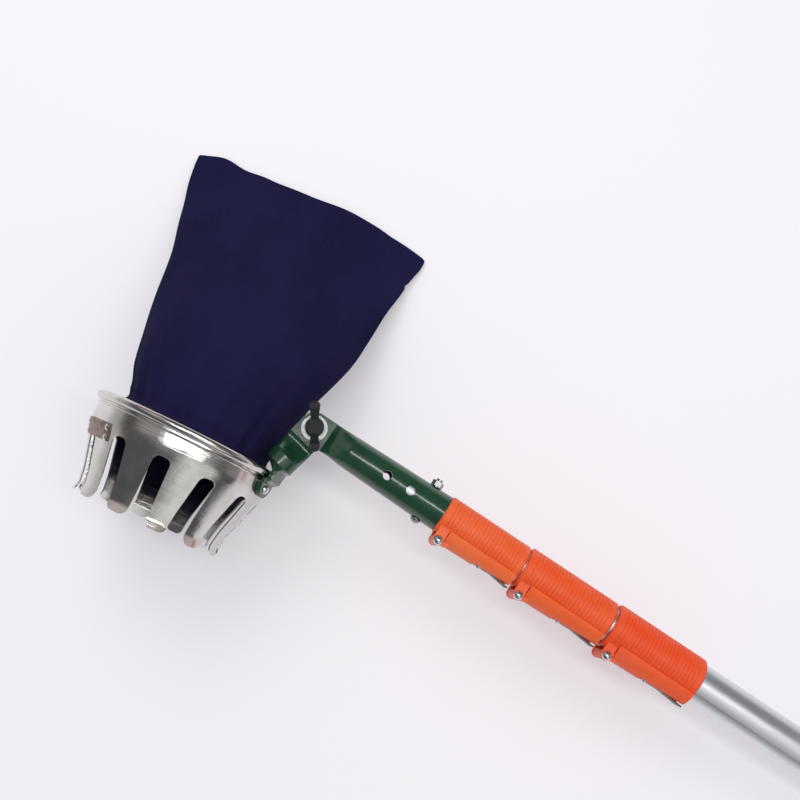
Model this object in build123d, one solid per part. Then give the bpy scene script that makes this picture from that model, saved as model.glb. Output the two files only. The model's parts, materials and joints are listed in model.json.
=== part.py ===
from build123d import *
import math
import os

# A fruit picker: a tined cup with a cloth bag, on a hinged arm at the end of a
# telescopic pole. All sizes are millimetres. The pieces are made in a flat frame with
# the hinge axis on Z and the pole along +X, and are laid down on the floor at the end.

# Gaps and cuts shared by many pieces
fixed_gap = 0.05
turning_gap = 0.2
swing_gap = 0.3
overcut = 1.0

# Pole tubes, from the widest to the narrowest
outer_tube_diameter = 30.0
tube_wall = 0.8
tube_play = 0.3
pole_reach = 920.0
section_overlap = 110.0

# Guides at the inner ends of the sliding tubes
guide_spigot = 15.0
guide_flange = 10.0
guide_play = 0.08
guide_spacing = 6.0

# Clamps, each fixed on the mouth of one tube and gripping the next
socket_spacing = 0.6
front_clamp_spacing = 1.0
middle_clamp_spacing = 2.0
front_clamp_length = 70.0
clamp_length = 76.0
sleeve_wall = 2.6
sleeve_chamfer = 1.5
collar_length = 14.0
rib_pitch = 2.9
rib_groove = 1.1
rib_depth = 0.45
rib_margin = 4.0

# Clamp levers, their pins, brake pads and strips
pin_from_front = 6.5
pin_offset = 3.6
pin_diameter = 3.2
pin_head_diameter = 7.6
pin_head_height = 2.8
ear_plate = 3.8
ear_round = 4.0
ear_root = 0.4
boss_height = 17.4
pad_length = 10.0
pad_height = 11.8
pad_recess = 0.5
lever_half_angle = 58.0
lever_front_rise = 4.8
lever_rear_rise = 3.6
lever_edge_rise = 1.1
lever_end_margin = 1.0
lever_start_gap = 0.7
neck_rise = 1.0
neck_reach = 4.0
strip_start = 38.0
strip_bend = 54.0
strip_height = 12.0
strip_thickness = 0.9
strip_flare = 2.2
land_rise = 1.6
strip_rivet_station = 43.5
strip_rivet_diameter = 2.4
strip_rivet_head = 4.4
strip_rivet_dome = 2.0

# Socket arm, a tapered tube pressed flat at the hinge
socket_mouth = 113.6
socket_wall = 1.85
socket_taper = 0.0195
first_hole = 64.2
hole_spacing = 20.3
spare_hole_diameter = 7.0
socket_bolt_station = 99.5
socket_bolt_diameter = 5.0
bolt_head_diameter = 8.5
bolt_head_height = 3.2
nut_across_flats = 8.0
nut_height = 4.0
bolt_tail = 2.0

# Hinge
hinge_ear_diameter = 24.0
hinge_ear_thickness = 3.6
hinge_bolt_diameter = 6.0
hinge_running_gap = 0.08
crease_length = 12.5
flat_length = 19.5
press_length = 6.0
round_length = 32.0
washer_diameter = 19.5
washer_thickness = 1.5
bolt_dome_diameter = 14.0
bolt_dome_height = 3.8
wing_hub_diameter = 13.9
wing_hub_height = 10.0
wing_span = 37.0
wing_thickness = 5.4
wing_end_thickness = 9.0
wing_lift = 4.6
wing_rise = 14.0
wing_angle = 123.0
wing_cap = 2.0
insert_diameter = 9.0

# Where the cup hangs from the hinge, with the cup's axis along Y
head_angle = 7.6
ring_side = 83.2
ring_drop = 42.0
ring_low = 26.2

# Cup of rolled sheet with a rolled rim and bent tines
rim_diameter = 150.0
rim_height = 6.5
rim_round = 3.1
sheet = 1.2
wall_radius = 71.3
shoulder_radius = 71.0
shoulder_depth = 20.0
tine_bend_radius = 59.6
tine_bend_depth = 56.0
toe_radius = 57.4
toe_depth = 67.5
tip_radius = 58.8
cup_depth = 74.0
shoulder_round = 25.0
tine_round = 30.0
toe_round = 8.0
bead_depth = 8.6
bead_size = 0.9
tine_count = 12
slot_phase = 0.6
slot_top_depth = 26.0
slot_half_width = 6.5
slot_end_half_width = 7.2
slot_corner = 4.5
tine_tip_round = 5.5

# Clip riveted over the joint of the strip
clip_start_angle = -71.0
clip_arc = 32.0
clip_top_depth = 21.0
clip_height = 12.0
clip_sheet = 1.2
clip_rivet_diameter = 3.0
clip_rivet_head = 4.6
clip_rivet_rise = 0.9
clip_rivet_inset = 2.6
clip_rivet_angle_inset = 2.2

# Head arm, a tube pressed flat at both ends
arm_tube_diameter = 24.0
arm_lean = 18.6
arm_round_start = 29.5
arm_round_end = 37.5
tab_angle = 71.0
tab_width = 20.0
tab_thickness = 3.5
tab_end_depth = 21.0
tab_screw_diameter = 4.0
tab_screw_head = 7.2
tab_screw_head_height = 2.6
tab_nut_flats = 7.0
tab_nut_height = 3.2
tab_screw_tail = 1.5
strap_clearance = 0.6
strap_angle = 72.0
strap_width = 22.0
strap_thickness = 5.0
strap_height = 1.0

# Bag, a straight cloth tube closed flat at its far end
bag_cloth = 2.0
bag_mouth_gap = 0.5
bag_mouth_depth = 6.5
bag_tuck_depth = 2.5
bag_neck_height = 3.0
bag_neck_radius = 60.0
bag_middle_height = 112.0
bag_middle_width = 172.0
bag_middle_thickness = 78.0
bag_hem_height = 200.0
bag_hem_width = 201.0
bag_hem_thickness = 15.0
bag_reach = 232.0
bag_end_shift = -7.0
bag_end_width = 216.0
bag_end_thickness = 6.0
hoop_wire = 3.0
hoop_depth = 4.0

# Butt of the pole
grip_length = 136.0
grip_diameter = 34.0
grip_groove_pitch = 8.0
grip_groove_width = 2.4
grip_groove_depth = 0.8
grip_margin = 8.0
cap_length = 14.0
cap_spigot = 16.0
cap_round = 2.5
hang_hole_diameter = 6.0

# Sizes worked out from the ones above
tube_step = 2 * (tube_wall + tube_play)
second_tube_diameter = outer_tube_diameter - tube_step
third_tube_diameter = second_tube_diameter - tube_step
tip_tube_diameter = third_tube_diameter - tube_step
front_clamp_start = socket_mouth + socket_spacing
middle_clamp_start = front_clamp_start + front_clamp_length + front_clamp_spacing
rear_clamp_start = middle_clamp_start + clamp_length + middle_clamp_spacing
outer_tube_end = pole_reach - cap_length
guide_step = guide_spigot + guide_flange + guide_spacing
second_tube_end = outer_tube_end - cap_spigot - guide_flange - guide_spacing
third_tube_end = second_tube_end - guide_step
tip_tube_end = third_tube_end - guide_step
second_hole = first_hole + hole_spacing
seat_station = (first_hole + second_hole) / 2
rim_radius = rim_diameter / 2
tab_top_depth = bead_depth + bead_size + strap_clearance
tab_screw_depth = tab_top_depth + tab_screw_head / 2 + strap_clearance
wall_line = [
    (wall_radius, 0.0),
    (shoulder_radius, shoulder_depth),
    (tine_bend_radius, tine_bend_depth),
    (toe_radius, toe_depth),
    (tip_radius, cup_depth),
]
wall_bends = [shoulder_round, tine_round, toe_round]


def rod(start, end, radius):
    """Round bar along X between two stations."""
    return Pos((start + end) / 2, 0, 0) * Rot(0, 90, 0) * Cylinder(radius, end - start)


def post(bottom, top, radius):
    """Round bar along Z between two heights."""
    return Pos(0, 0, (bottom + top) / 2) * Cylinder(radius, top - bottom)


def block(x_range, y_range, z_range):
    """Box between two corners, given as a range along each axis."""
    spans = [(min(ends), max(ends)) for ends in (x_range, y_range, z_range)]
    middle = [(low + high) / 2 for low, high in spans]
    size = [high - low for low, high in spans]
    return Pos(*middle) * Box(*size)


def hexagon(bottom, top, across_flats):
    """Hexagonal prism along Z."""
    flats = RegularPolygon(across_flats / 2, 6, major_radius=False)
    return Pos(0, 0, bottom) * extrude(flats, top - bottom)


def dome(base, rise, diameter):
    """Rounded screw or rivet head on the plane z = base, rising along Z."""
    half = diameter / 2
    ball_radius = (half ** 2 + rise ** 2) / (2 * rise)
    ball = Pos(0, 0, base + rise - ball_radius) * Sphere(ball_radius)
    return ball & post(base, base + 2 * rise, diameter)


def oval(width, thickness):
    """Section of a pressed tube: four arcs, a circle where width and thickness are equal."""
    half_width = width / 2
    half_thickness = thickness / 2
    roundness = half_thickness / half_width
    diagonal = math.sqrt(0.5)
    shoulder = half_width - half_thickness * (0.5 - (diagonal - 0.5) * roundness)
    flank = half_thickness * (0.93 - (0.93 - diagonal) * roundness)
    bottom = ThreePointArc((-shoulder, -flank), (0, -half_thickness), (shoulder, -flank))
    right = ThreePointArc((shoulder, -flank), (half_width, 0), (shoulder, flank))
    top = ThreePointArc((shoulder, flank), (0, half_thickness), (-shoulder, flank))
    left = ThreePointArc((-shoulder, flank), (-half_width, 0), (-shoulder, -flank))
    return make_face([bottom, right, top, left])


def pressed_flat(width, thickness):
    """Section of a tube pressed fully flat, with corners where the oval has its arcs meet."""
    half_width = width / 2
    half_thickness = thickness / 2
    corners = [(-half_width, -half_thickness), (half_width, -half_thickness),
               (half_width, half_thickness), (-half_width, half_thickness)]
    return make_face(Polyline(*corners, close=True))


def at_angle(angle, shape):
    """Carry a shape made at the top of the cup round its axis to an angle."""
    return Rot(0, angle, 0) * shape


def ring_sector(inner_radius, outer_radius, top_depth, bottom_depth, start_angle, arc):
    """Piece of a ring round the cup's axis between two depths and two angles."""
    middle = ((inner_radius + outer_radius) / 2, -(top_depth + bottom_depth) / 2)
    section = Pos(*middle) * Rectangle(outer_radius - inner_radius, bottom_depth - top_depth)
    return Rot(0, start_angle - 90, 0) * revolve(section, Axis.Y, arc)


def wall_band(inner_shift, outer_shift):
    """Ring between two copies of the wall line, each moved out from the axis by its shift."""
    outside = [(radius + outer_shift, -depth) for radius, depth in wall_line]
    inside = [(radius + inner_shift, -depth) for radius, depth in reversed(wall_line)]
    bends = [0, *wall_bends, 0]
    outline = FilletPolyline(*outside, *inside, radius=bends + bends[::-1], close=True)
    return revolve(make_face(outline), Axis.Y)


def slot_cutter():
    """Prism of one slot at the top of the cup, flared at the mouth to round the tine tips."""
    top = -(slot_top_depth + slot_corner)
    flat = slot_half_width - slot_corner
    flare_start = -(cup_depth - tine_tip_round)
    flare = slot_end_half_width + tine_tip_round
    below = -(cup_depth + overcut)
    diagonal = tine_tip_round * math.sqrt(0.5)
    bend = slot_corner * math.sqrt(0.5)
    edges = [Line((-flat, -slot_top_depth), (flat, -slot_top_depth))]
    for side in (1, -1):
        corner = (side * (flare - diagonal), flare_start - diagonal)
        top_corner = (side * (flat + bend), top + bend)
        edges.append(ThreePointArc((side * flat, -slot_top_depth), top_corner, (side * slot_half_width, top)))
        edges.append(Line((side * slot_half_width, top), (side * slot_end_half_width, flare_start)))
        round_start = (side * slot_end_half_width, flare_start)
        edges.append(ThreePointArc(round_start, corner, (side * flare, -cup_depth)))
        edges.append(Line((side * flare, -cup_depth), (side * flare, below)))
    edges.append(Line((flare, below), (-flare, below)))
    inner = toe_radius / 2
    return Pos(0, 0, inner) * extrude(make_face(edges), rim_radius + overcut - inner)


def clip_rivet_places():
    """Angle and depth of each rivet of the seam clip."""
    angles = (clip_start_angle + clip_rivet_angle_inset, clip_start_angle + clip_arc - clip_rivet_angle_inset)
    depths = (clip_top_depth + clip_rivet_inset, clip_top_depth + clip_height - clip_rivet_inset)
    return [(angle, depth) for angle in angles for depth in depths]


def wall_radius_at(depth):
    """Outer radius of the wall at a depth, along its straight runs."""
    for (upper_radius, upper), (lower_radius, lower) in zip(wall_line, wall_line[1:]):
        if upper <= depth <= lower:
            return upper_radius + (lower_radius - upper_radius) * (depth - upper) / (lower - upper)


def on_wall(angle, depth, shape):
    """Carry a shape that stands on the plane z = 0 to the wall's outside, square to the wall."""
    radius = wall_radius_at(depth)
    lean = math.degrees(math.atan2(radius - wall_radius_at(depth + sheet), sheet))
    return at_angle(angle, Pos(0, -depth, radius) * Rot(lean, 0, 0) * shape)


def picking_cup():
    """Sheet ring with its rolled rim, a fine bead, twelve tines and the holes of its fixings."""
    inside = wall_radius - sheet
    rim_points = [(inside, 0), (rim_radius, 0), (rim_radius, -rim_height), (inside, -rim_height)]
    rim_outline = FilletPolyline(*rim_points, radius=[sheet / 2, rim_round, rim_round, 0], close=True)
    rim = revolve(make_face(rim_outline), Axis.Y)
    bead = revolve(Pos(wall_radius, -bead_depth) * Circle(bead_size), Axis.Y)
    bead -= Pos(0, -bead_depth, 0) * Rot(90, 0, 0) * Cylinder(wall_radius - sheet / 2, 4 * bead_size)
    cup = wall_band(-sheet, 0) + rim + bead
    slot = slot_cutter()
    for index in range(tine_count):
        cup -= at_angle(slot_phase + index * 360 / tine_count, slot)
    screw_hole = post(shoulder_radius / 2, rim_radius, tab_screw_diameter / 2 + fixed_gap)
    cup -= at_angle(tab_angle, Pos(0, -tab_screw_depth, 0) * screw_hole)
    rivet_hole = post(-2 * sheet, 2 * sheet, clip_rivet_diameter / 2 + fixed_gap)
    for angle, depth in clip_rivet_places():
        cup -= on_wall(angle, depth, rivet_hole)
    return cup


def seam_clip():
    """Plate that follows the wall and bridges one slot, with its rivet holes."""
    reach = ring_sector(tip_radius, rim_radius + clip_sheet, clip_top_depth, clip_top_depth + clip_height,
                        clip_start_angle, clip_arc)
    clip = wall_band(fixed_gap, fixed_gap + clip_sheet) & reach
    hole = post(-2 * clip_sheet, 2 * clip_sheet, clip_rivet_diameter / 2 + fixed_gap)
    for angle, depth in clip_rivet_places():
        clip -= on_wall(angle, depth, hole)
    return clip


def seam_rivets():
    """Domed rivets through the clip and the wall, each with a flat set head inside the cup."""
    seat = fixed_gap + clip_sheet
    inside = -(sheet + 3 * fixed_gap)
    rivet = post(inside, seat, clip_rivet_diameter / 2)
    rivet += dome(seat, clip_rivet_rise, clip_rivet_head)
    rivet += post(inside - clip_rivet_rise, inside, clip_rivet_head / 2)
    return Compound([on_wall(angle, depth, rivet) for angle, depth in clip_rivet_places()])


def pressed_neck(direction, face_side, width, thickness, tube_diameter, flat_end, round_start):
    """Ear of a pressed tube and its swell to the round, along a direction from the hinge.

    The ear lies on one side of the hinge plane, face_side 1 above it and -1 below. Its outer
    face swells from the crease on, and its mating face stays flat until flat_end."""
    ear_middle = face_side * (turning_gap / 2 + thickness / 2)
    along = Plane(origin=(0, 0, 0), x_dir=(-direction[1], direction[0], 0), z_dir=direction)
    ear = Pos(0, 0, ear_middle) * Cylinder(width / 2, thickness)
    raised = (thickness + tube_diameter / 2) / 2
    raised_middle = face_side * (turning_gap / 2 + raised / 2)
    middle_station = flat_end + press_length
    middle_thickness = (thickness + tube_diameter) / 2 * 1.1
    middle_width = (width + tube_diameter) / 2
    sections = [
        along * Pos(0, ear_middle, crease_length) * pressed_flat(width, thickness),
        along * Pos(0, raised_middle, flat_end) * oval(width, raised),
        along * Pos(0, ear_middle, middle_station) * oval(middle_width, middle_thickness),
        along * Pos(0, 0, round_start) * oval(tube_diameter, tube_diameter),
    ]
    tongue = extrude(along * Pos(0, ear_middle, 0) * pressed_flat(width, thickness), crease_length)
    return ear + tongue + loft(sections)


def hinge_hole():
    """Cutter of the hinge bolt's hole through both ears."""
    reach = hinge_ear_thickness + turning_gap + overcut
    return post(-reach, reach, hinge_bolt_diameter / 2 + hinge_running_gap)


def arm_direction():
    """Unit vector of the head arm from the hinge, in the cup's axes."""
    return (-math.sin(math.radians(arm_lean)), -math.cos(math.radians(arm_lean)), 0.0)


def head_arm():
    """Tube from the hinge ear to the tab that lies on the cup wall under the rim."""
    direction = arm_direction()
    hinge_place = Pos(ring_side, ring_drop, ring_low)
    neck = pressed_neck(direction, -1, hinge_ear_diameter, hinge_ear_thickness, arm_tube_diameter,
                        flat_length, arm_round_start)
    neck -= hinge_hole()

    def strap_plane(angle, height, radius):
        """Section plane across the strap at an angle round the cup, a height and a radius."""
        turn = math.radians(angle)
        origin = (math.sin(turn) * radius, height, math.cos(turn) * radius)
        return Plane(origin=origin, x_dir=(math.cos(turn), 0, -math.sin(turn)), z_dir=(0, -1, 0))

    start = [ring_side + direction[0] * arm_round_end, ring_drop + direction[1] * arm_round_end, ring_low]
    strap_turn = math.radians(strap_angle)
    round_plane = Plane(origin=start, x_dir=(math.cos(strap_turn), 0, -math.sin(strap_turn)), z_dir=direction)
    over_rim = rim_radius + strap_clearance
    under_rim = rim_height + strap_clearance
    tab_inside = wall_radius + fixed_gap
    plate_inside = tab_inside - sheet / 2
    plate_thickness = tab_thickness + sheet / 2
    straight = extrude(Plane(origin=(0, 0, 0), x_dir=(-direction[1], direction[0], 0), z_dir=direction)
                       * Pos(0, 0, arm_round_start) * Circle(arm_tube_diameter / 2),
                       arm_round_end - arm_round_start)
    strap_section = strap_plane(strap_angle, strap_height, over_rim + strap_thickness / 2)
    strap_section = strap_section * oval(strap_width, strap_thickness)
    joggle_angle = (strap_angle + tab_angle) / 2
    joggle_section = strap_plane(joggle_angle, -under_rim, over_rim + tab_thickness / 2)
    joggle_section = joggle_section * pressed_flat(tab_width, tab_thickness)
    plate_section = strap_plane(tab_angle, -tab_top_depth, plate_inside + plate_thickness / 2)
    plate_section = plate_section * pressed_flat(tab_width, plate_thickness)
    strap = loft([round_plane * oval(arm_tube_diameter, arm_tube_diameter), strap_section])
    strap += loft([strap_section, joggle_section])
    strap += loft([joggle_section, plate_section])
    round_end = tab_end_depth - tab_width / 2
    plate = extrude(plate_section, round_end - tab_top_depth)
    round_tip = Pos(0, -round_end, 0) * post(plate_inside, plate_inside + plate_thickness, tab_width / 2)
    strap += plate + at_angle(tab_angle, round_tip)
    # The strap clears the rim and the bead, and its plate is hollowed to sit on the wall.
    over_bead = wall_radius + bead_size + strap_clearance
    below = tab_end_depth + overcut
    relief_points = [
        (0, strap_height), (over_rim, strap_height), (over_rim, -under_rim), (over_bead, -under_rim),
        (over_bead, -tab_top_depth), (tab_inside, -tab_top_depth), (tab_inside, -below), (0, -below),
    ]
    strap -= revolve(make_face(Polyline(*relief_points, close=True)), Axis.Y)
    screw_hole = post(shoulder_radius / 2, 2 * rim_radius, tab_screw_diameter / 2 + fixed_gap)
    strap -= at_angle(tab_angle, Pos(0, -tab_screw_depth, 0) * screw_hole)
    return hinge_place * (neck + straight) + strap


def tab_screw():
    """Pan head screw through the tab and the cup wall, along the cup's radius."""
    seat = wall_radius + fixed_gap + tab_thickness
    inside = wall_radius - sheet - tab_nut_height - tab_screw_tail
    screw = post(inside, seat, tab_screw_diameter / 2)
    screw += dome(seat, tab_screw_head_height, tab_screw_head)
    return at_angle(tab_angle, Pos(0, -tab_screw_depth, 0) * screw)


def tab_nut():
    """Hexagon nut of the tab screw, seated on the cup wall's inside."""
    half = tab_nut_flats / math.sqrt(3)
    inside = wall_radius - sheet
    sagitta = inside - math.sqrt(inside ** 2 - half ** 2)
    seat = shoulder_radius - sheet - sagitta - fixed_gap
    nut = hexagon(seat - tab_nut_height, seat, tab_nut_flats)
    nut -= post(seat - tab_nut_height - overcut, seat + overcut, tab_screw_diameter / 2 + fixed_gap)
    return at_angle(tab_angle, Pos(0, -tab_screw_depth, 0) * nut)


def bag_sections(inset, floor_level):
    """Sections of the bag from its mouth to its flat end, drawn in by an inset."""
    mouth = wall_radius - sheet - bag_mouth_gap
    rows = [
        (-bag_mouth_depth, 2 * mouth, 2 * mouth, 0.0),
        (-bag_tuck_depth, 2 * mouth, 2 * mouth, 0.0),
        (bag_neck_height, 2 * bag_neck_radius, 2 * bag_neck_radius, 0.0),
        (bag_middle_height, bag_middle_width, bag_middle_thickness, 0.0),
        (bag_hem_height, bag_hem_width, bag_hem_thickness, bag_end_shift),
        (bag_reach, bag_end_width, bag_end_thickness, bag_end_shift),
    ]
    sections = []
    for height, width, thickness, shift in rows:
        # From the neck on, the underside falls straight to the floor at the hem.
        share = max(0.0, (height - bag_neck_height) / (bag_hem_height - bag_neck_height))
        lowest = -bag_neck_radius + min(share, 1.0) * (floor_level + bag_neck_radius)
        level = lowest + thickness / 2 if height > bag_neck_height else 0.0
        plane = Plane(origin=(shift, height, level), x_dir=(1, 0, 0), z_dir=(0, -1, 0))
        sections.append(plane * oval(width - 2 * inset, thickness - 2 * inset))
    return sections


def fruit_bag(floor_level):
    """Cloth tube, round inside the cup and flat where it lies on the floor, open at the mouth."""
    outside = loft(bag_sections(0.0, floor_level), ruled=True)
    inside = loft(bag_sections(bag_cloth, floor_level)[:-1], ruled=True)
    return outside - inside


def bag_hoop():
    """Wire hoop inside the bag's mouth, which holds the cloth against the cup."""
    mouth = wall_radius - sheet - bag_mouth_gap
    middle = mouth - bag_cloth - fixed_gap - hoop_wire / 2
    return Pos(0, -hoop_depth, 0) * Rot(90, 0, 0) * Torus(middle, hoop_wire / 2)


def socket_bore_at(station):
    """Radius of the socket's bore, which meets the tip tube's end at the seat."""
    return tip_tube_diameter / 2 + fixed_gap + socket_taper * (station - seat_station)


def socket_arm():
    """Tapered tube with its pressed ear, two spare holes and the holes of its bolt."""
    round_radius = socket_bore_at(round_length) + socket_wall
    mouth_radius = socket_bore_at(socket_mouth) + socket_wall
    neck = pressed_neck((1.0, 0.0, 0.0), 1, hinge_ear_diameter, hinge_ear_thickness, 2 * round_radius,
                        flat_length, round_length)
    barrel_length = socket_mouth - round_length
    along = Pos((round_length + socket_mouth) / 2, 0, 0) * Rot(0, 90, 0)
    arm = neck + along * Cone(round_radius, mouth_radius, barrel_length)
    arm -= along * Cone(round_radius - socket_wall, mouth_radius - socket_wall, barrel_length)
    arm -= hinge_hole()
    for station in (first_hole, second_hole):
        arm -= Pos(station, 0, 0) * Cylinder(spare_hole_diameter / 2, 4 * mouth_radius)
    bolt_hole = Rot(90, 0, 0) * Cylinder(socket_bolt_diameter / 2 + fixed_gap, 4 * mouth_radius)
    arm -= Pos(socket_bolt_station, 0, 0) * bolt_hole
    return arm


def socket_side():
    """Distance from the pole's axis to where the socket bolt's head and nut sit on the flare."""
    return socket_bore_at(socket_bolt_station + max(bolt_head_diameter, nut_across_flats)) + socket_wall


def socket_bolt():
    """Bolt across the socket and the tip tube, its head on the tines' side."""
    seat = socket_side() + fixed_gap
    bolt = post(-seat - nut_height - bolt_tail, seat, socket_bolt_diameter / 2)
    bolt += dome(seat, bolt_head_height, bolt_head_diameter)
    return Pos(socket_bolt_station, 0, 0) * Rot(90, 0, 0) * bolt


def socket_nut():
    """Hexagon nut of the socket bolt."""
    seat = socket_side() + fixed_gap
    nut = hexagon(seat, seat + nut_height, nut_across_flats)
    nut -= post(seat - overcut, seat + nut_height + overcut, socket_bolt_diameter / 2 + fixed_gap)
    return Pos(socket_bolt_station, 0, 0) * Rot(-90, 0, 0) * nut


def hinge_heights():
    """Heights of the washer seats and of the wing nut's base above the hinge plane."""
    upper_seat = turning_gap / 2 + hinge_ear_thickness
    lower_seat = -(upper_seat + turning_gap)
    nut_base = upper_seat + washer_thickness + turning_gap
    return upper_seat, lower_seat, nut_base


def hinge_bolt():
    """Round headed bolt from below through both ears, ending inside the wing nut."""
    upper_seat, lower_seat, nut_base = hinge_heights()
    under_washer = lower_seat - washer_thickness
    bolt = post(under_washer, nut_base + wing_hub_height - wing_cap - overcut, hinge_bolt_diameter / 2)
    return bolt + Rot(180, 0, 0) * dome(-under_washer, bolt_dome_height, bolt_dome_diameter)


def hinge_washers():
    """Washer under the wing nut and washer over the bolt's head."""
    upper_seat, lower_seat, nut_base = hinge_heights()
    washers = []
    for bottom in (upper_seat, lower_seat - washer_thickness):
        washer = post(bottom, bottom + washer_thickness, washer_diameter / 2)
        washer -= post(bottom - overcut, bottom + washer_thickness + overcut,
                       hinge_bolt_diameter / 2 + fixed_gap)
        washers.append(washer)
    return Compound(washers)


def wing_nut():
    """Moulded hub with two raised wings, closed on top."""
    base = hinge_heights()[2]
    hub_radius = wing_hub_diameter / 2
    hub = post(base, base + wing_hub_height, hub_radius)
    hub = fillet(hub.edges().group_by(Axis.Z)[-1], wing_cap / 2)
    half_span = wing_span / 2
    half_thickness = wing_thickness / 2
    outline = FilletPolyline(
        (hub_radius / 2, base + wing_lift * 0.6),
        (half_span * 0.62, base + wing_lift),
        (half_span, base + wing_lift + wing_thickness / 2),
        (half_span, base + wing_rise),
        (half_span * 0.7, base + wing_rise),
        (hub_radius / 2, base + wing_hub_height - wing_cap / 2),
        radius=[0, wing_thickness / 2, wing_thickness / 3, wing_thickness / 3, wing_thickness / 2, 0],
        close=True,
    )
    half_end = wing_end_thickness / 2
    plan = FilletPolyline(
        (0, -half_thickness), (hub_radius, -half_thickness), (half_span, -half_end),
        (half_span, half_end), (hub_radius, half_thickness), (0, half_thickness),
        radius=[0, hub_radius / 2, half_end * 0.8, half_end * 0.8, hub_radius / 2, 0],
        close=True,
    )
    wing = extrude(Plane.XZ * make_face(outline), half_end, both=True)
    wing &= Pos(0, 0, base) * extrude(make_face(plan), 2 * wing_rise)
    nut = hub + wing + Rot(0, 0, 180) * wing
    nut -= post(base - overcut, base + wing_hub_height - wing_cap, insert_diameter / 2 + fixed_gap)
    return Rot(0, 0, wing_angle) * nut


def wing_nut_insert():
    """Threaded metal insert inside the wing nut's hub."""
    base = hinge_heights()[2]
    top = base + wing_hub_height - wing_cap - fixed_gap
    insert = post(base, top, insert_diameter / 2)
    return insert - post(base - overcut, top + overcut, hinge_bolt_diameter / 2 + hinge_running_gap)


def pole_tube(start, end, diameter):
    """Drawn tube of the pole between two stations."""
    radius = diameter / 2
    return rod(start, end, radius) - rod(start - overcut, end + overcut, radius - tube_wall)


def tip_tube():
    """Narrowest tube, seated in the socket and drilled for its bolt."""
    bolt_hole = Rot(90, 0, 0) * Cylinder(socket_bolt_diameter / 2 + fixed_gap, 2 * tip_tube_diameter)
    tube = pole_tube(seat_station, tip_tube_end, tip_tube_diameter)
    return tube - Pos(socket_bolt_station, 0, 0) * bolt_hole


def tube_guide(tube_end, diameter):
    """Plastic plug in the inner end of a tube, with a flange that runs in the next tube."""
    spigot = rod(tube_end - guide_spigot, tube_end, diameter / 2 - tube_wall - fixed_gap)
    flange = rod(tube_end, tube_end + guide_flange, diameter / 2 + tube_play - guide_play)
    return spigot + flange


def ribbed_bar(length, radius, chamfer, groove_pitch, groove_width, groove_depth, margin):
    """Round bar along X from 0, with chamfered ends and a row of shallow grooves."""
    count = int((length - 2 * margin) // groove_pitch)
    first = (length - (count - 1) * groove_pitch - groove_width) / 2
    points = [(0, 0), (0, radius - chamfer), (chamfer, radius)]
    for index in range(count):
        start = first + index * groove_pitch
        slope = groove_width / 4
        points += [(start, radius), (start + slope, radius - groove_depth)]
        points += [(start + groove_width - slope, radius - groove_depth), (start + groove_width, radius)]
    points += [(length - chamfer, radius), (length, radius - chamfer), (length, 0)]
    return revolve(make_face(Polyline(*points, close=True)), Axis.X)


def crescent_circle(station, sleeve_radius, rise):
    """Circle across the pole, off its axis, that stands out by the rise behind the lever.

    At the lever's two long edges it stands out from the sleeve by the edge rise alone."""
    turn = math.radians(lever_half_angle)
    back = sleeve_radius + rise
    edge = sleeve_radius + lever_edge_rise
    offset = (back ** 2 - edge ** 2) / (2 * (back - edge * math.cos(turn)))
    plane = Plane(origin=(station, -offset, 0), x_dir=(0, 1, 0), z_dir=(1, 0, 0))
    return plane * Circle(back - offset)


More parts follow.
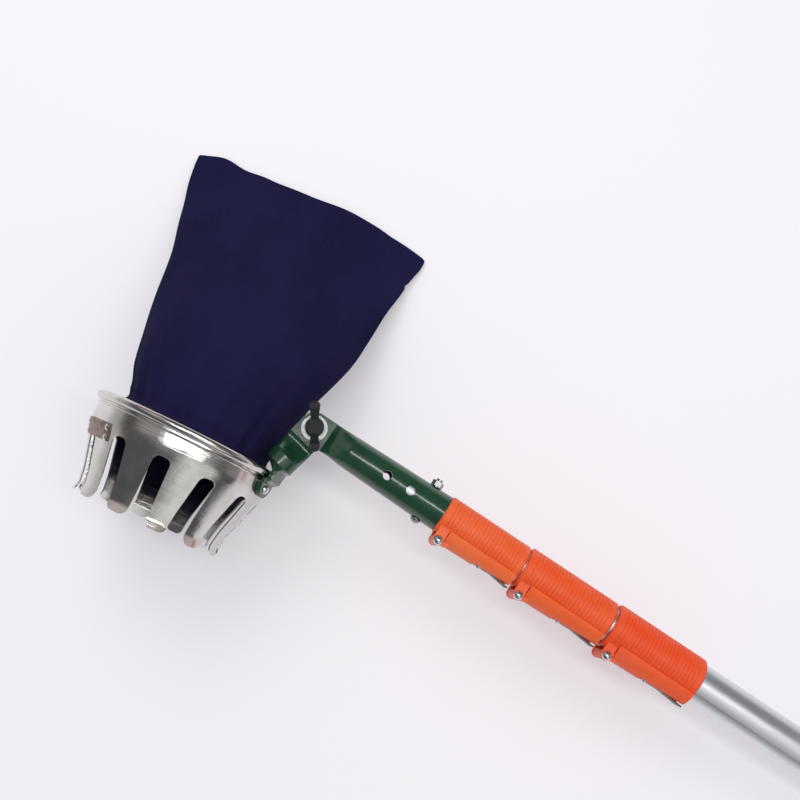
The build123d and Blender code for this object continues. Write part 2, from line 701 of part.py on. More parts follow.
def clamp_pieces(length, inner_radius, tube_radius):
    """Pieces of one clamp from its front at x = 0: sleeve, brake pad, pin, lever, strip and rivet.

    The sleeve is fixed on a tube of tube_radius and grips a tube of inner_radius."""
    sleeve_radius = tube_radius + sleeve_wall
    pin_place = Pos(pin_from_front, -(sleeve_radius + pin_offset), 0)
    half_boss = boss_height / 2
    ear_top = half_boss + swing_gap + ear_plate
    pad_face = sleeve_radius - pad_recess
    cam_radius = pin_offset + pad_recess - swing_gap

    sleeve = ribbed_bar(length, sleeve_radius, sleeve_chamfer, rib_pitch, rib_groove, rib_depth, rib_margin)
    for side in (1, -1):
        z_range = (side * (half_boss + swing_gap), side * ear_top)
        sleeve += block((pin_from_front - ear_round, pin_from_front + ear_round),
                        (-sleeve_radius * ear_root, -(sleeve_radius + pin_offset)), z_range)
        sleeve += pin_place * post(min(z_range), max(z_range), ear_round)
    sleeve -= rod(-overcut, collar_length + overcut, inner_radius + tube_play)
    sleeve -= rod(collar_length, length + overcut, tube_radius + fixed_gap)
    half_pad_length = pad_length / 2
    window = block((pin_from_front - half_pad_length, pin_from_front + half_pad_length),
                   (-inner_radius / 2, -(sleeve_radius + pin_offset)), (-pad_height / 2, pad_height / 2))
    sleeve -= window
    sleeve -= pin_place * post(-ear_top - overcut, ear_top + overcut, pin_diameter / 2 + fixed_gap)

    pad = block((pin_from_front - half_pad_length + fixed_gap, pin_from_front + half_pad_length - fixed_gap),
                (-inner_radius / 2, -sleeve_radius),
                (-pad_height / 2 + fixed_gap, pad_height / 2 - fixed_gap))
    pad &= rod(0, collar_length, pad_face) - rod(0, collar_length, inner_radius + swing_gap)

    pin = post(-ear_top, ear_top, pin_diameter / 2)
    pin += dome(ear_top, pin_head_height, pin_head_diameter)
    pin += Rot(180, 0, 0) * dome(ear_top, pin_head_height / 2, pin_head_diameter)
    pin = pin_place * pin

    start = pin_from_front + ear_round + lever_start_gap
    end = length - lever_end_margin
    inside = sleeve_radius + swing_gap
    reach = sleeve_radius + 2 * lever_front_rise
    panel_outline = Polyline((start, inside), (start, reach), (end, reach), (end, inside), close=True)
    panel = revolve(make_face(panel_outline), Axis.X, 2 * lever_half_angle)
    panel = Rot(180 - lever_half_angle, 0, 0) * panel
    # The back of the lever is a rounder arc than the sleeve, so its section is a crescent.
    front_circle = crescent_circle(start, sleeve_radius, lever_front_rise)
    panel &= loft([front_circle, crescent_circle(end, sleeve_radius, lever_rear_rise)])
    neck = block((pin_from_front, start + neck_reach),
                 (-(sleeve_radius + neck_rise), -(sleeve_radius + lever_front_rise)), (-half_boss, half_boss))
    boss = pin_place * post(-half_boss, half_boss, cam_radius)
    lever = panel + neck + boss
    lever -= pin_place * post(-half_boss - overcut, half_boss + overcut,
                              pin_diameter / 2 + hinge_running_gap)
    land = sleeve_radius + land_rise
    lever -= block((strip_start - fixed_gap, length), (-land, -land - lever_front_rise),
                   (-strip_height / 2 - fixed_gap, strip_height / 2 + fixed_gap))
    rivet_place = Pos(strip_rivet_station, 0, 0) * Rot(90, 0, 0)
    rivet_hole = post(sleeve_radius / 2, 2 * sleeve_radius, strip_rivet_diameter / 2 + fixed_gap)
    rivet_hole = rivet_place * rivet_hole
    lever -= rivet_hole

    back = -(land + fixed_gap)
    flared = back - strip_flare
    strip_points = [(strip_start, back), (strip_bend, back), (end, flared), (end, flared - strip_thickness),
                    (strip_bend, back - strip_thickness), (strip_start, back - strip_thickness)]
    strip = extrude(make_face(Polyline(*strip_points, close=True)), strip_height / 2, both=True)
    strip -= rivet_hole
    strip_face = land + fixed_gap + strip_thickness
    rivet = post(inside + fixed_gap, strip_face, strip_rivet_diameter / 2)
    rivet += dome(strip_face, strip_rivet_dome, strip_rivet_head)
    rivet = rivet_place * rivet
    return {
        "clamp_sleeve": sleeve,
        "brake_pad": pad,
        "lever_pin": pin,
        "lever": lever,
        "lever_strip": strip,
        "strip_rivet": rivet,
    }


def pole_grip():
    """Ribbed grip glued on the outer tube up to the end cap."""
    grip = ribbed_bar(grip_length, grip_diameter / 2, grip_groove_depth, grip_groove_pitch,
                      grip_groove_width, grip_groove_depth, grip_margin)
    grip -= rod(-overcut, grip_length + overcut, outer_tube_diameter / 2 + fixed_gap)
    return Pos(outer_tube_end - grip_length, 0, 0) * grip


def end_cap():
    """Moulded plug in the pole's butt, with a hole to hang the pole by."""
    cap = rod(outer_tube_end, pole_reach, grip_diameter / 2)
    cap = fillet(cap.edges().group_by(Axis.X)[-1], cap_round)
    spigot_radius = outer_tube_diameter / 2 - tube_wall - fixed_gap
    cap += rod(outer_tube_end - cap_spigot, outer_tube_end, spigot_radius)
    hang_hole = Rot(90, 0, 0) * Cylinder(hang_hole_diameter / 2, 2 * grip_diameter)
    return cap - Pos(outer_tube_end + cap_length / 2, 0, 0) * hang_hole


def resting_slope():
    """Angle by which the pole falls towards its butt when the rim and the butt touch the floor."""
    turn = math.radians(head_angle)
    ring_station = -ring_side * math.cos(turn) + ring_drop * math.sin(turn)
    along = pole_reach - cap_round - ring_station
    across = grip_diameter / 2 - ring_low
    return math.degrees(math.asin(rim_radius / math.hypot(along, across)) - math.atan2(across, along))


def build_pieces():
    """Every piece by its name, in the flat frame of the hinge."""
    slope = resting_slope()
    head = Rot(0, 0, head_angle) * Pos(-ring_side, -ring_drop, -ring_low)
    # The bag hangs plumb under the cup, and its end meets the floor that the rim stands on.
    axis_rise = math.sin(math.radians(head_angle)) * math.sin(math.radians(slope))
    floor_level = -(rim_radius + bag_reach * axis_rise)
    plumb = head * Rot(0, -slope * math.cos(math.radians(head_angle)), 0)
    pieces = {
        "picking_cup": head * picking_cup(),
        "seam_clip": head * seam_clip(),
        "seam_rivets": head * seam_rivets(),
        "head_arm": head * head_arm(),
        "tab_screw": head * tab_screw(),
        "tab_nut": head * tab_nut(),
        "fruit_bag": plumb * fruit_bag(floor_level),
        "bag_hoop": plumb * bag_hoop(),
        "socket_arm": socket_arm(),
        "socket_bolt": socket_bolt(),
        "socket_nut": socket_nut(),
        "hinge_bolt": hinge_bolt(),
        "hinge_washers": hinge_washers(),
        "wing_nut": wing_nut(),
        "wing_nut_insert": wing_nut_insert(),
        "tip_tube": tip_tube(),
        "third_tube": pole_tube(front_clamp_start + collar_length, third_tube_end, third_tube_diameter),
        "second_tube": pole_tube(middle_clamp_start + collar_length, second_tube_end, second_tube_diameter),
        "outer_tube": pole_tube(rear_clamp_start + collar_length, outer_tube_end, outer_tube_diameter),
        "tip_guide": tube_guide(tip_tube_end, tip_tube_diameter),
        "third_guide": tube_guide(third_tube_end, third_tube_diameter),
        "second_guide": tube_guide(second_tube_end, second_tube_diameter),
        "pole_grip": pole_grip(),
        "end_cap": end_cap(),
    }
    clamps = (
        ("front", front_clamp_start, front_clamp_length, tip_tube_diameter, third_tube_diameter),
        ("middle", middle_clamp_start, clamp_length, third_tube_diameter, second_tube_diameter),
        ("rear", rear_clamp_start, clamp_length, second_tube_diameter, outer_tube_diameter),
    )
    for name, start, length, gripped_diameter, carrier_diameter in clamps:
        for piece, shape in clamp_pieces(length, gripped_diameter / 2, carrier_diameter / 2).items():
            pieces[f"{name}_{piece}"] = Pos(start, 0, 0) * shape
    return pieces


def laid_down(pieces):
    """Placement that lays the flat frame on the floor, with the origin under the middle of its box."""
    tilt = Rot(0, resting_slope(), 0)
    box = Compound([tilt * shape for shape in pieces.values()]).bounding_box()
    middle = box.center()
    return Pos(-middle.X, -middle.Y, -box.min.Z) * tilt


flat_pieces = build_pieces()
placement = laid_down(flat_pieces)
os.makedirs("parts", exist_ok=True)
for piece_name, piece_shape in flat_pieces.items():
    export_step(placement * piece_shape, f"parts/{piece_name}.step")
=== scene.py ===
import json
import math
import bpy
import numpy as np
from mathutils import Matrix, Vector


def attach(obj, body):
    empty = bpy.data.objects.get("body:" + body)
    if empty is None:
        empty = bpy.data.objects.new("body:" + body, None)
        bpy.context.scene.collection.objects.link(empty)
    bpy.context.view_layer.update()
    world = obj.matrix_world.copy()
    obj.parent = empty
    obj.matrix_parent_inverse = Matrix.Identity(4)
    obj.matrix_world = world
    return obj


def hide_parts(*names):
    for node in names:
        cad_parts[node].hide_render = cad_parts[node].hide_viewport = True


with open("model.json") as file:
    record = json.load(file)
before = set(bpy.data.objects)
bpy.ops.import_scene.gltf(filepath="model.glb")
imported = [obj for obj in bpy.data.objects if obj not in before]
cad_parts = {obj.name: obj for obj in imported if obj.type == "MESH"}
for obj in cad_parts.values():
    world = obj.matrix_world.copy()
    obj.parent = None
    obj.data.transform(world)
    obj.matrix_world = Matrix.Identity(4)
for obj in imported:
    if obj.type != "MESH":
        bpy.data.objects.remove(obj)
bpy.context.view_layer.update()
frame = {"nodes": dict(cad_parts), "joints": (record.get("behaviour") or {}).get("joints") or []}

nodes = frame["nodes"]

# Where the picker lies: the hinge of its head is on the pole's axis, which falls gently from
# there to the butt. The record's head joint gives the hinge and the fall.
head_joint = next(joint for joint in frame["joints"] if joint["name"] == "head_tilt")
hinge_axis = Vector(head_joint["axis"])
pole_slope = math.atan2(hinge_axis.x, hinge_axis.z)
pole_frame = Matrix.Translation(head_joint["pos_m"]) @ Matrix.Rotation(pole_slope, 4, "Y")

# Camera: it looks down on the picker from above the tines, a little off the hinge axis,
# so that the pole runs from the middle of the picture to its lower right corner.
camera_lens = bpy.data.cameras.new("camera_above")
camera_lens.sensor_width = 36.0
camera_lens.lens = 45.0
camera = bpy.data.objects.new("camera_above", camera_lens)
camera_right = Vector((0.83318, 0.54487, 0.09469))
camera_up = Vector((-0.55303, 0.82104, 0.14172))
camera_turn = Matrix((camera_right, camera_up, camera_right.cross(camera_up))).transposed().to_4x4()
camera_place = Matrix.Translation((0.04084, -0.07456, 0.74275))
camera.matrix_world = pole_frame @ camera_place @ camera_turn
bpy.context.scene.collection.objects.link(camera)
bpy.context.scene.camera = camera
bpy.context.scene.view_settings.view_transform = "Standard"


# Studio: a pale floor under soft lamps, with a grey room above it that polished metal
# reflects. The floor and the room are not part of the picker.
class Socket:
    """A shader value. Arithmetic on it adds Math nodes, and add() makes any other node."""

    def __init__(self, tree, socket=None):
        self.tree = tree
        self.socket = socket

    def add(self, kind, settings=None, inputs=None, output=0):
        """A node of that type: its settings come first, then its sockets' values or links."""
        node = self.tree.nodes.new(kind)
        for name, value in (settings or {}).items():
            setattr(node, name, value)
        for name, value in (inputs or {}).items():
            if isinstance(value, Socket):
                self.tree.links.new(value.socket, node.inputs[name])
            else:
                node.inputs[name].default_value = value
        return Socket(self.tree, node.outputs[output] if node.outputs else None)

    def math(self, operation, *values):
        """Math node that does this operation on the values given."""
        return self.add("ShaderNodeMath", {"operation": operation}, dict(enumerate(values)))

    def __add__(self, other):
        return self.math("ADD", self, other)

    def __mul__(self, other):
        return self.math("MULTIPLY", self, other)

    __radd__ = __add__
    __rmul__ = __mul__

    def between(self, low, high):
        """Smooth step from 0 to 1 as this value goes from low to high."""
        inputs = {"Value": self, "From Min": low, "From Max": high}
        return self.add("ShaderNodeMapRange", {"interpolation_type": "SMOOTHSTEP"}, inputs)

    def tint(self, first, second):
        """Colour that goes from the first to the second as this value goes from 0 to 1."""
        inputs = {0: self, 6: first, 7: second}
        return self.add("ShaderNodeMix", {"data_type": "RGBA"}, inputs, output=2)

    def place(self, axes, unit):
        """Object coordinates seen in a piece's own axes, counted in the given units."""
        spot = self.add("ShaderNodeTexCoord", {}, {}, "Object")
        inputs = {
            "Vector": spot,
            "Location": axes.translation,
            "Rotation": axes.to_euler(),
            "Scale": unit,
        }
        return self.add("ShaderNodeMapping", {"vector_type": "TEXTURE"}, inputs)

    def split(self, axis):
        """One coordinate of this vector, named X, Y or Z."""
        return self.add("ShaderNodeSeparateXYZ", {}, {0: self}, axis)

    def noise(self, detail=3.0):
        """Cloudy values from 0 to 1 at this place, spread over the whole range."""
        inputs = {"Vector": self, "Scale": 1.0, "Detail": detail}
        return self.add("ShaderNodeTexNoise", {}, inputs).between(0.3, 0.7)

    def bump(self, distance):
        """Normal of a surface raised by this height, in the given distance of metres."""
        inputs = {"Height": self, "Distance": distance, "Strength": 1.0}
        return self.add("ShaderNodeBump", {}, inputs)


def new_finish(name):
    """An empty material and the socket wrapper that makes its nodes."""
    material = bpy.data.materials.new(name)
    material.use_nodes = True
    material.node_tree.nodes.clear()
    return material, Socket(material.node_tree)


def give_surface(root, inputs):
    """Principled surface with these socket values, joined to the material's output."""
    shader = root.add("ShaderNodeBsdfPrincipled", {}, inputs)
    root.add("ShaderNodeOutputMaterial", {}, {"Surface": shader})


def srgb(red, green, blue):
    """Linear colour with alpha from the 0 to 255 values that a screen shows."""
    shown = np.array((red, green, blue)) / 255
    linear = np.where(shown <= 0.04045, shown / 12.92, ((shown + 0.055) / 1.055) ** 2.4)
    return (*linear.tolist(), 1.0)


def cell_corners(grid):
    """The four corners of each cell of a grid, in turn, on an axis after its rows and columns."""
    return np.stack([grid[:-1, :-1], grid[:-1, 1:], grid[1:, 1:], grid[1:, :-1]], axis=2)


def surface_mesh(name, points, closed_round=False):
    """Object from a grid of points, shape (rows, columns, 3): quads between neighbours.

    closed_round joins the last column to the first."""
    rows, columns = points.shape[:2]
    number = np.arange(rows * columns).reshape(rows, columns)
    if closed_round:
        number = np.concatenate([number, number[:, :1]], axis=1)
    quads = cell_corners(number).reshape(-1, 4)
    mesh = bpy.data.meshes.new(name)
    mesh.from_pydata(points.reshape(-1, 3).tolist(), [], quads.tolist())
    mesh.shade_smooth()
    piece = bpy.data.objects.new(name, mesh)
    bpy.context.scene.collection.objects.link(piece)
    return piece


floor_reach = 6.0
floor_marks = np.linspace(-floor_reach, floor_reach, 3)
floor_points = np.stack([*np.meshgrid(floor_marks, floor_marks), np.zeros((3, 3))], axis=-1)
floor = surface_mesh("studio_floor", floor_points)
floor_paper, paper = new_finish("pale_floor")
paper_light = paper.add("ShaderNodeBsdfDiffuse", {}, {"Color": srgb(220, 218, 221)})
paper_seen = paper.add("ShaderNodeLightPath", {}, {}, "Is Camera Ray")
paper_seen = paper_seen + paper.add("ShaderNodeLightPath", {}, {}, "Is Glossy Ray")
paper_shine = {"Color": srgb(247, 243, 249), "Strength": 0.25 * paper_seen}
paper_glow = paper.add("ShaderNodeEmission", {}, paper_shine)
paper_sum = paper.add("ShaderNodeAddShader", {}, {0: paper_light, 1: paper_glow})
paper.add("ShaderNodeOutputMaterial", {}, {"Surface": paper_sum})
floor.data.materials.append(floor_paper)

world = bpy.data.worlds.new("grey_room")
world.use_nodes = True
world.node_tree.nodes.clear()
room = Socket(world.node_tree)
room_side = room.add("ShaderNodeTexCoord", {}, {}, "Generated")
room_height = room_side.split("Z")
low_wall = (0.80, 0.79, 0.78, 1.0)
high_wall = (0.16, 0.16, 0.17, 1.0)
ceiling = (0.40, 0.41, 0.42, 1.0)
wall_height = room_height + 0.17 * room_side.split("X")
room_wall = wall_height.between(0.05, 0.20).tint(low_wall, high_wall)
room_ceiling = room_height.between(0.80, 0.97).tint(room_wall, ceiling)


def hung_panel(behind, direction, rim, colour):
    """The room behind, with a soft round panel in a direction.

    rim gives the cosines of the angles from there to the panel's outer and inner edge."""
    inputs = {0: room_side, 1: direction}
    facing = room.add("ShaderNodeVectorMath", {"operation": "DOT_PRODUCT"}, inputs, "Value")
    return facing.between(*rim).tint(behind, colour)


bright_panel = (1.3, 1.3, 1.31, 1.0)
warm_panel = (0.86, 0.78, 0.76, 1.0)
room_panel = hung_panel(room_ceiling, (0.64, -0.36, 0.68), (0.86, 0.98), bright_panel)
for direction, rim in (
    ((-0.60, 0.25, 0.76), (0.92, 0.97)),
    ((0.46, 0.31, 0.83), (0.965, 0.985)),
    ((0.92, 0.36, 0.12), (0.96, 0.98)),
):
    room_panel = hung_panel(room_panel, direction, rim, warm_panel)
plain_light = (0.80, 0.80, 0.82, 1.0)
room_mirrored = room.add("ShaderNodeLightPath", {}, {}, "Is Glossy Ray")
room_colour = room_mirrored.tint(plain_light, room_panel)
room_light = room.add("ShaderNodeBackground", {}, {"Color": room_colour, "Strength": 0.66})
room.add("ShaderNodeOutputWorld", {}, {"Surface": room_light})
bpy.context.scene.world = world


def add_lamp(name, place, target, size, power, mirrored=True):
    """Rectangular area lamp at a place, turned to a target, which polished metal mirrors or not."""
    lamp = bpy.data.lights.new(name, "AREA")
    lamp.shape = "RECTANGLE"
    lamp.size, lamp.size_y = size
    lamp.energy = power
    holder = bpy.data.objects.new(name, lamp)
    holder.location = place
    holder.rotation_euler = (Vector(target) - Vector(place)).to_track_quat("-Z", "Y").to_euler()
    holder.visible_glossy = mirrored
    bpy.context.scene.collection.objects.link(holder)


add_lamp("key_lamp", (-1.2, 0.8, 1.6), (-0.2, 0.0, 0.0), (1.0, 1.0), 11, mirrored=False)
add_lamp("pole_lamp", (0.40, 0.15, 1.9), (0.40, 0.0, 0.0), (1.2, 0.22), 7)
add_lamp("cup_lamp", (-0.45, -0.05, 1.9), (-0.45, -0.05, 0.0), (0.60, 0.22), 3.5)


# Pole tubes: four drawn aluminium tubes, each sliding in the next wider one. The drawing
# die leaves fine lines along them.
def dress(piece, finish):
    """Gives a piece one finish in place of what it had."""
    piece.data.materials.clear()
    piece.data.materials.append(finish)


drawn_aluminium, metal = new_finish("drawn_aluminium")
drawn_lines = metal.place(pole_frame, (0.30, 0.0009, 0.0009)).noise(detail=4.0)
hand_marks = metal.place(pole_frame, (0.05, 0.02, 0.02)).noise()
give_surface(metal, {
    "Base Color": drawn_lines.tint(srgb(218, 221, 226), srgb(238, 240, 243)),
    "Metallic": 1.0,
    "Roughness": 0.36 + 0.10 * drawn_lines + 0.06 * hand_marks,
    "Normal": drawn_lines.bump(0.00004),
})
for tube_name in ("outer_tube", "second_tube", "third_tube", "tip_tube"):
    dress(nodes[tube_name], drawn_aluminium)

# Tube guides: white nylon plugs pressed into the inner ends of the sliding tubes. They are
# moulded, so they have a slight haze and no grain.
white_nylon, nylon = new_finish("white_nylon")
nylon_haze = nylon.place(pole_frame, (0.004, 0.004, 0.004)).noise()
give_surface(nylon, {
    "Base Color": nylon_haze.tint(srgb(214, 214, 207), srgb(226, 226, 220)),
    "Roughness": 0.42 + 0.12 * nylon_haze,
    "Normal": nylon_haze.bump(0.00003),
})
for guide_name in ("tip_guide", "third_guide", "second_guide"):
    dress(nodes[guide_name], white_nylon)


# Clamp sleeves: ribbed orange mouldings, one on the mouth of each tube but the narrowest.
# Their plastic is satin, with a fine grain and faint paler streaks where it flowed.
def moulded_orange(name, shade):
    """Satin orange plastic: the shade, with streaks a few hundredths nearer to white."""
    finish, plastic = new_finish(name)
    flow = plastic.place(pole_frame, (0.030, 0.012, 0.012)).noise()
    grain = plastic.place(pole_frame, (0.0005, 0.0005, 0.0005)).noise()
    pale = srgb(*(part + (255 - part) * 0.06 for part in shade))
    give_surface(plastic, {
        "Base Color": flow.tint(srgb(*shade), pale),
        "Roughness": 0.36 + 0.08 * grain,
        "Normal": (grain + 0.6 * flow).bump(0.00003),
        "Specular IOR Level": 0.3,
    })
    return finish


clamp_shades = {"front": (238, 96, 46), "middle": (236, 86, 36), "rear": (236, 78, 32)}
for clamp, shade in clamp_shades.items():
    dress(nodes[f"{clamp}_clamp_sleeve"], moulded_orange(f"{clamp}_sleeve_orange", shade))

# Clamp levers: orange mouldings of the same plastic with a smooth back, hinged on a pin at
# the front of each sleeve. Their colours are written paler than the sleeves' as painted
# light, standing in for the light the levers miss where they face down, away from the lamps.
lever_shades_with_painted_light = {"front": (245, 106, 54), "middle": (243, 96, 44), "rear": (243, 88, 40)}
for clamp, shade in lever_shades_with_painted_light.items():
    dress(nodes[f"{clamp}_lever"], moulded_orange(f"{clamp}_lever_orange_painted_light", shade))

# Brake pads: black rubber blocks that the levers' cams press on the inner tube. They are cut
# from sheet, so they have a dull open grain.
pad_rubber, rubber = new_finish("pad_rubber")
pad_grain = rubber.place(pole_frame, (0.0006, 0.0006, 0.0006)).noise()
give_surface(rubber, {
    "Base Color": pad_grain.tint(srgb(26, 26, 27), srgb(38, 38, 39)),
    "Roughness": 0.70 + 0.15 * pad_grain,
    "Normal": pad_grain.bump(0.00006),
})
for clamp in clamp_shades:
    dress(nodes[f"{clamp}_brake_pad"], pad_rubber)

# Lever strips: springy strips of dark steel riveted into the back of each lever, with
# their free ends bent out. Their dark brownish colour is partly the steel's own and partly
# painted shade, copied from the strip where it lies in shade at the lever's end.
dark_steel_with_painted_shade, metal = new_finish("strip_steel_with_painted_shade")
strip_lines = metal.place(pole_frame, (0.0005, 0.02, 0.02)).noise(detail=4.0)
strip_stain = metal.place(pole_frame, (0.006, 0.006, 0.004)).noise()
give_surface(metal, {
    "Base Color": strip_stain.tint(srgb(46, 36, 34), srgb(72, 60, 56)),
    "Metallic": 0.7,
    "Roughness": 0.34 + 0.14 * strip_lines,
    "Normal": strip_lines.bump(0.00003),
})
for clamp in clamp_shades:
    dress(nodes[f"{clamp}_lever_strip"], dark_steel_with_painted_shade)

# Lever pins, strip rivets, hinge bolt, tab screw with its nut, and bag hoop: steel with a
# bright zinc coat, which is a little cloudy and keeps the lines of the turning tool.
zinc_coat, metal = new_finish("bright_zinc")
zinc_cloud = metal.place(pole_frame, (0.004, 0.004, 0.004)).noise()
zinc_lines = metal.place(pole_frame, (0.003, 0.003, 0.0003)).noise()
give_surface(metal, {
    "Base Color": zinc_cloud.tint(srgb(206, 208, 212), srgb(228, 229, 230)),
    "Metallic": 1.0,
    "Roughness": 0.16 + 0.08 * zinc_cloud + 0.06 * zinc_lines,
    "Normal": zinc_lines.bump(0.00002),
})
for clamp in clamp_shades:
    dress(nodes[f"{clamp}_lever_pin"], zinc_coat)
    dress(nodes[f"{clamp}_strip_rivet"], zinc_coat)
for fastener in ("hinge_bolt", "tab_screw", "tab_nut", "bag_hoop"):
    dress(nodes[fastener], zinc_coat)

# Socket bolt, its nut and the hinge washers: plain zinc, which has gone dull and grey where
# spanners and the wing nut have rubbed it.
dull_zinc, metal = new_finish("dull_zinc")
dull_cloud = metal.place(pole_frame, (0.003, 0.003, 0.003)).noise()
dull_lines = metal.place(pole_frame, (0.0004, 0.003, 0.003)).noise()
give_surface(metal, {
    "Base Color": dull_cloud.tint(srgb(150, 152, 156), srgb(186, 188, 190)),
    "Metallic": 1.0,
    "Roughness": 0.30 + 0.10 * dull_cloud + 0.06 * dull_lines,
    "Normal": dull_lines.bump(0.00002),
})
for fastener in ("socket_bolt", "socket_nut", "hinge_washers"):
    dress(nodes[fastener], dull_zinc)

# Grip: a soft black sleeve pushed over the butt of the widest tube, with moulded grooves
# round it and a fine matt grain.
grip_rubber, rubber = new_finish("grip_rubber")
grip_grain = rubber.place(pole_frame, (0.0007, 0.0007, 0.0007)).noise()
grip_dust = rubber.place(pole_frame, (0.03, 0.01, 0.01)).noise()
give_surface(rubber, {
    "Base Color": grip_dust.tint(srgb(24, 24, 25), srgb(36, 36, 37)),
    "Roughness": 0.66 + 0.16 * grip_grain,
    "Normal": grip_grain.bump(0.00008),
})
dress(nodes["pole_grip"], grip_rubber)

# End cap and wing nut: hard black mouldings. The cap closes the butt, and the wing nut is
# turned by hand to free the head.
black_moulding, plastic = new_finish("black_moulding")
mould_grain = plastic.place(pole_frame, (0.0008, 0.0008, 0.0008)).noise()
mould_flow = plastic.place(pole_frame, (0.012, 0.012, 0.012)).noise()
give_surface(plastic, {
    "Base Color": mould_flow.tint(srgb(16, 16, 18), srgb(25, 25, 27)),
    "Roughness": 0.50 + 0.14 * mould_grain,
    "Normal": mould_grain.bump(0.00004),
})
dress(nodes["end_cap"], black_moulding)
dress(nodes["wing_nut"], black_moulding)

# Wing nut insert: a turned brass bush moulded into the hub, with the thread of the hinge
# bolt inside it.
turned_brass, metal = new_finish("turned_brass")
brass_lines = metal.place(pole_frame, (0.01, 0.01, 0.0003)).noise()
give_surface(metal, {
    "Base Color": brass_lines.tint(srgb(196, 160, 92), srgb(218, 184, 116)),
    "Metallic": 1.0,
    "Roughness": 0.24 + 0.12 * brass_lines,
    "Normal": brass_lines.bump(0.00003),
})
dress(nodes["wing_nut_insert"], turned_brass)

# Socket arm and head arm: steel tubes pressed flat at the hinge and painted in dark green
# gloss enamel, which has flowed into a slight orange peel.
green_enamel, paint = new_finish("green_enamel")
paint_peel = paint.place(pole_frame, (0.0022, 0.0022, 0.0022)).noise(detail=2.0)
paint_depth = paint.place(pole_frame, (0.03, 0.02, 0.02)).noise()
paint_dust = paint.place(pole_frame, (0.0008, 0.0008, 0.0008)).noise(detail=5.0)
give_surface(paint, {
    "Base Color": paint_depth.tint(srgb(22, 58, 40), srgb(28, 68, 46)),
    "Roughness": 0.16 + 0.10 * paint_dust,
    "Normal": (paint_peel + 0.1 * paint_dust).bump(0.00003),
    "Coat Weight": 0.5,
    "Coat Roughness": 0.06,
})
dress(nodes["socket_arm"], green_enamel)
dress(nodes["head_arm"], green_enamel)

# Picking cup: one strip of bright aluminium sheet, slit into tines, rolled to a ring and
# polished. The rolls leave fine lines round it, and handling leaves faint smears.
head_turn = math.radians(7.6)
cup_place = Matrix.Translation((-0.0832, -0.0420, -0.0262))
head_frame = pole_frame @ Matrix.Rotation(head_turn, 4, "Z") @ cup_place
polished_sheet, metal = new_finish("polished_sheet")
rolled_lines = metal.place(head_frame, (0.05, 0.0004, 0.05)).noise(detail=5.0)
smears = metal.place(head_frame, (0.012, 0.020, 0.012)).noise(detail=4.0)
give_surface(metal, {
    "Base Color": smears.tint(srgb(202, 199, 194), srgb(218, 216, 212)),
    "Metallic": 1.0,
    "Roughness": 0.07 + 0.07 * rolled_lines + 0.06 * smears,
    "Normal": (0.5 * rolled_lines + smears).bump(0.00006),
})
dress(nodes["picking_cup"], polished_sheet)

# Seam clip: a plate of dull plated steel riveted over the joint of the cup's strip. Its
# plating has browned a little.
dull_plate, metal = new_finish("dull_clip_plate")
plate_stain = metal.place(head_frame, (0.005, 0.005, 0.005)).noise(detail=4.0)
plate_grain = metal.place(head_frame, (0.0006, 0.0006, 0.0006)).noise()
give_surface(metal, {
    "Base Color": plate_stain.tint(srgb(112, 96, 86), srgb(170, 156, 146)),
    "Metallic": 1.0,
    "Roughness": 0.32 + 0.14 * plate_stain + 0.06 * plate_grain,
    "Normal": plate_grain.bump(0.00004),
})
dress(nodes["seam_clip"], dull_plate)
dress(nodes["seam_rivets"], zinc_coat)


# Fruit bag: a straight tube of dark navy cotton, gathered over a wire hoop in the cup's
# mouth and sewn shut at its far end, which lies flat on the floor.
bag_frame = head_frame @ Matrix.Rotation(-pole_slope * math.cos(head_turn), 4, "Y")
mouth_height = -6.5
bag_span = 240.0
bag_end = mouth_height + bag_span

# Sections of the bag in millimetres: height over the cup's rim, half of the width, half of
# the depth, level of the underside, and shift of the middle to the right.
bag_sections = np.array((
    (-6.5, 69.5, 69.5, -69.5, 0.0),
    (-3.5, 69.0, 69.0, -69.0, 0.0),
    (-1.0, 62.5, 63.0, -63.0, 1.5),
    (2.0, 58.8, 59.8, -59.8, 3.4),
    (12.0, 59.2, 59.4, -60.4, 3.8),
    (28.0, 64.2, 58.0, -61.5, 1.7),
    (55.0, 71.0, 53.0, -63.5, -0.6),
    (85.0, 80.4, 46.0, -66.5, -1.4),
    (115.0, 87.2, 37.0, -70.0, -2.2),
    (145.0, 93.5, 26.0, -73.0, -7.2),
    (175.0, 99.8, 14.5, -75.3, -12.0),
    (200.0, 105.4, 6.5, -76.2, -15.0),
    (222.0, 110.2, 2.4, -76.6, -15.6),
    (233.5, 110.4, 1.4, -76.7, -16.0),
))


def smooth_through(stations, values, at):
    """Cubic curve through given values, flat at its two ends, read at other stations."""
    slopes = np.gradient(values, stations)
    slopes[[0, -1]] = 0.0
    cell = np.clip(np.searchsorted(stations, at) - 1, 0, len(stations) - 2)
    step = stations[cell + 1] - stations[cell]
    share = (at - stations[cell]) / step
    rise = values[cell + 1] - values[cell]
    first = slopes[cell] * step
    last = slopes[cell + 1] * step
    bend = 3 * rise - 2 * first - last
    twist = first + last - 2 * rise
    return values[cell] + share * first + share ** 2 * bend + share ** 3 * twist


def far_edge(x):
    """How far the far edge runs out at x: a long cosine less a parabola, with a small ripple,
    two bell curves near the left corner and a soft step down to the right one."""
    edge = 3.2 * np.cos((x - 18.0) / 38.0) - 2.0 * (x / 100.0) ** 2 + 0.5 * np.sin(x / 9.0)
    edge = edge + 5.2 * np.exp(-((x + 104.0) / 19.0) ** 2)
    edge = edge + 2.6 * np.exp(-((x + 68.0) / 14.0) ** 2)
    return edge - 1.5 * (1.0 + np.tanh((x - 53.0) / 9.0))


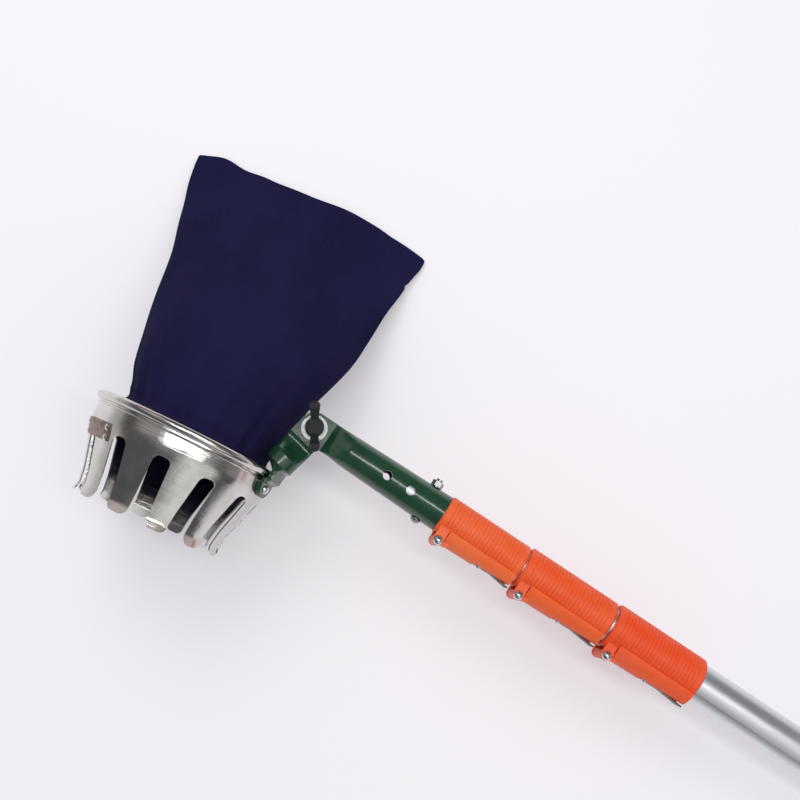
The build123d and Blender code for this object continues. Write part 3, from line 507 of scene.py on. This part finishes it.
def side_line(height, across):
    """How far the sides stand out at a height: two ripples, less a bell-shaped notch where the
    hem starts on the right, less a quarter circle that rounds the far corners."""
    ripple_reach = np.interp(height, (60.0, 120.0, 215.0, 233.0), (0.0, 1.0, 1.0, 0.3))
    ripple = 0.4 * np.sin(height / 13.0) + 0.3 * np.sin(height / 7.3 + across)
    hem_notch = 1.3 * np.exp(-((height - 198.0) / 2.2) ** 2) * np.clip(across, 0.0, 1.0)
    corner_radius = 3.5
    into_corner = np.clip((height - (bag_end - corner_radius)) / corner_radius, 0.0, 1.0)
    corner = corner_radius * (1.0 - np.sqrt(1.0 - into_corner ** 2))
    return ripple_reach * ripple - hem_notch - corner


def bag_points(rows, columns):
    """Cloth tube in metres: each section is an oval of given width, depth and level.

    The power of its sine grows towards the far end, which pinches the sides to a flat edge.
    Gathers run out from the neck, broad soft folds run down to the hem, and the hem is
    one cloth thicker on top."""
    along = np.linspace(0.0, 1.0, rows)[:, None]
    round_it = np.linspace(0.0, 2 * np.pi, columns, endpoint=False)[None, :]
    height = mouth_height + bag_span * along
    stations, *sizes = bag_sections.T
    half_width, depth, low, shift = (smooth_through(stations, size, height) for size in sizes)
    pinch = np.interp(height, (0.0, 60.0, 220.0), (1.0, 1.05, 1.7))
    across = np.cos(round_it)
    rise = -np.sin(round_it)

    gather_depth = 0.012
    gather = np.interp(height, (-3.0, 6.0, 40.0, 110.0), (0.0, 1.0, 0.55, 0.0))
    ripple = np.sin(19 * round_it + 0.8 * np.sin(3 * round_it)) + 0.6 * np.sin(31 * round_it + 2.0)
    reach = 1.0 + gather * gather_depth * ripple
    x = shift + half_width * across * reach
    z = low + depth + depth * np.sign(rise) * np.abs(rise) ** pinch * reach

    hem_start, hem_thickness = 196.5, 0.9
    upper = np.clip(rise, 0.0, 1.0)
    fold_reach = np.interp(height, (20.0, 90.0, 170.0, 225.0), (0.0, 1.0, 1.0, 0.0))
    fold = 2.6 * np.sin(x / 19.0 + 0.9 + height / 160.0) + 1.6 * np.sin(x / 11.0 - height / 90.0)
    hem = np.clip((height - hem_start) / 2.0, 0.0, 1.0)
    z = z + upper * (fold_reach * fold + hem_thickness * hem)

    flat_start = 150.0
    far = np.clip((height - flat_start) / (bag_end - flat_start), 0.0, 1.0) ** 2
    y = height + far * far_edge(x)
    x = x + np.sign(across) * np.abs(across) ** 8 * side_line(height, across)
    return np.stack([x, y, z], axis=-1) / 1000


def placed(points, axes):
    """Points of a piece's own axes, shape (..., 3), carried into the world."""
    turn = np.array(axes.to_3x3())
    return points @ turn.T + np.array(axes.translation)


def end_seam(points):
    """A closed grid, shape (rows, columns, 3), with the middle line of its end seam added.

    Each point of that line lies halfway between a point of the last row and the one under it."""
    last = points[-1]
    middle = (last + np.roll(last[::-1], 1, axis=0)) / 2
    return np.concatenate([points, middle[None]], axis=0)


bag_rows, bag_columns = 150, 240
bag_grid = end_seam(bag_points(bag_rows, bag_columns))
fruit_bag = surface_mesh("fruit_bag_cloth", placed(bag_grid, bag_frame), closed_round=True)
bag_girth = 0.442
bag_length = 0.240
girth_marks = np.linspace(0.0, bag_girth, bag_columns + 1)
length_marks = np.append(np.linspace(0.0, bag_length, bag_rows), bag_length)
cloth_marks = cell_corners(np.stack(np.meshgrid(girth_marks, length_marks), axis=-1))
cloth_marks = cloth_marks.reshape(-1).astype(np.float32)
fruit_bag.data.uv_layers.new(name="cloth").uv.foreach_set("vector", cloth_marks)
seam_weld = fruit_bag.modifiers.new("seam_weld", "WELD")
seam_weld.merge_threshold = 0.00001
cloth_wall = fruit_bag.modifiers.new("cloth_wall", "SOLIDIFY")
cloth_wall.thickness = 0.0008
cloth_wall.offset = -1.0

navy_cotton, cloth = new_finish("navy_cotton")
cloth_place = cloth.add("ShaderNodeUVMap", {"uv_map": "cloth"})
fade = cloth.place(bag_frame, (0.045, 0.09, 0.05)).noise()
yarns = {0: cloth_place, 1: (900.0, 60.0, 1.0)}
slub = cloth.add("ShaderNodeVectorMath", {"operation": "MULTIPLY"}, yarns).noise()
cotton = fade.tint(srgb(23, 22, 54), srgb(30, 28, 63))
give_surface(cloth, {
    "Base Color": (0.25 * slub).tint(cotton, srgb(38, 36, 72)),
    "Roughness": 0.86 + 0.08 * slub,
    "Normal": (0.4 * slub).bump(0.0002),
    "Specular IOR Level": 0.08,
})
fruit_bag.data.materials.append(navy_cotton)
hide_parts("fruit_bag")
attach(fruit_bag, "head")
